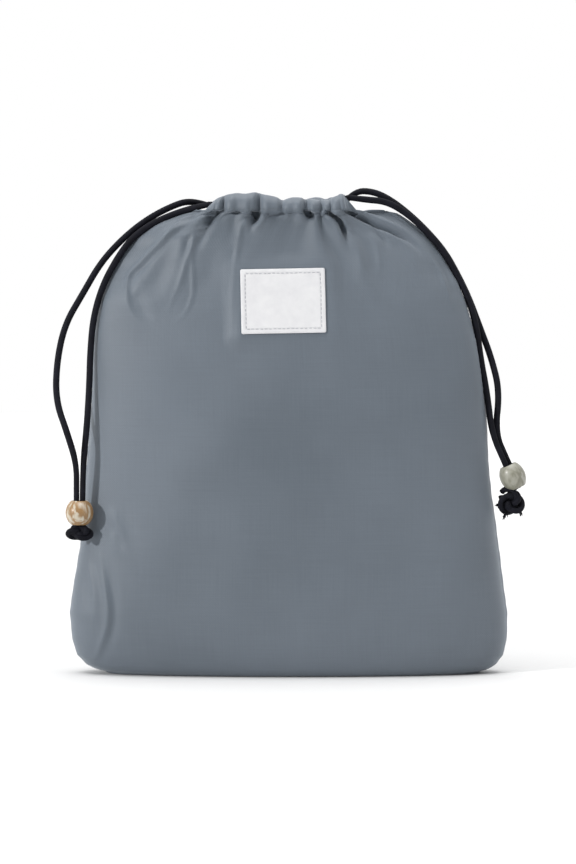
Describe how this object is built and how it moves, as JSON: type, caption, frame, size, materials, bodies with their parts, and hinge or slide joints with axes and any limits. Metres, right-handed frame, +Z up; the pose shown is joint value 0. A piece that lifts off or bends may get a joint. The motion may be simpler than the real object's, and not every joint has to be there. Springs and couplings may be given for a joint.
{
  "type": "shoe bag",
  "caption": "Filled-out drawstring pouch of satin cloth with a gathered mouth, side cords ending in wooden beads and knots, and a blank sewn label.",
  "frame": {"origin": "on the ground under the middle of the bag body, cords left out", "axes": "+Z up, -Y is the front with the label, +X to the right as seen from the front"},
  "size_m": [0.3121, 0.0784, 0.3152],
  "materials": {
    "cloth": "satin-faced polyester, fine plain weave, soft sheen",
    "body_thread": "polyester sewing thread",
    "label": "matte white coated patch, fine grain",
    "label_thread": "grey polyester thread",
    "cord": "braided black polyester cord, matte",
    "bead_wood": "pale wood with brown grain, light varnish"
  },
  "bodies": {
    "bag": {"front_panel": "cloth", "back_panel": "cloth", "front_casing": "cloth", "back_casing": "cloth", "left_seam_allowance": "cloth", "right_seam_allowance": "cloth", "bottom_seam_allowance": "cloth", "casing_stitching": "body_thread", "label_patch": "label", "label_stitching": "label_thread", "left_cord_loop": "cord", "right_cord_loop": "cord", "left_front_strand": "cord", "left_back_strand": "cord", "right_front_strand": "cord", "right_back_strand": "cord", "left_knot": "cord", "right_knot": "cord"},
    "left_bead": {"left_bead": "bead_wood"},
    "right_bead": {"right_bead": "bead_wood"}
  },
  "joints": [
    {"name": "left_bead_slide", "type": "slide", "parent": "bag", "child": "left_bead", "axis": [0, 0, 1], "range_m": [0, 0.014]},
    {"name": "right_bead_slide", "type": "slide", "parent": "bag", "child": "right_bead", "axis": [-0.4067, 0, 0.9135], "range_m": [0, 0.013]}
  ]
}
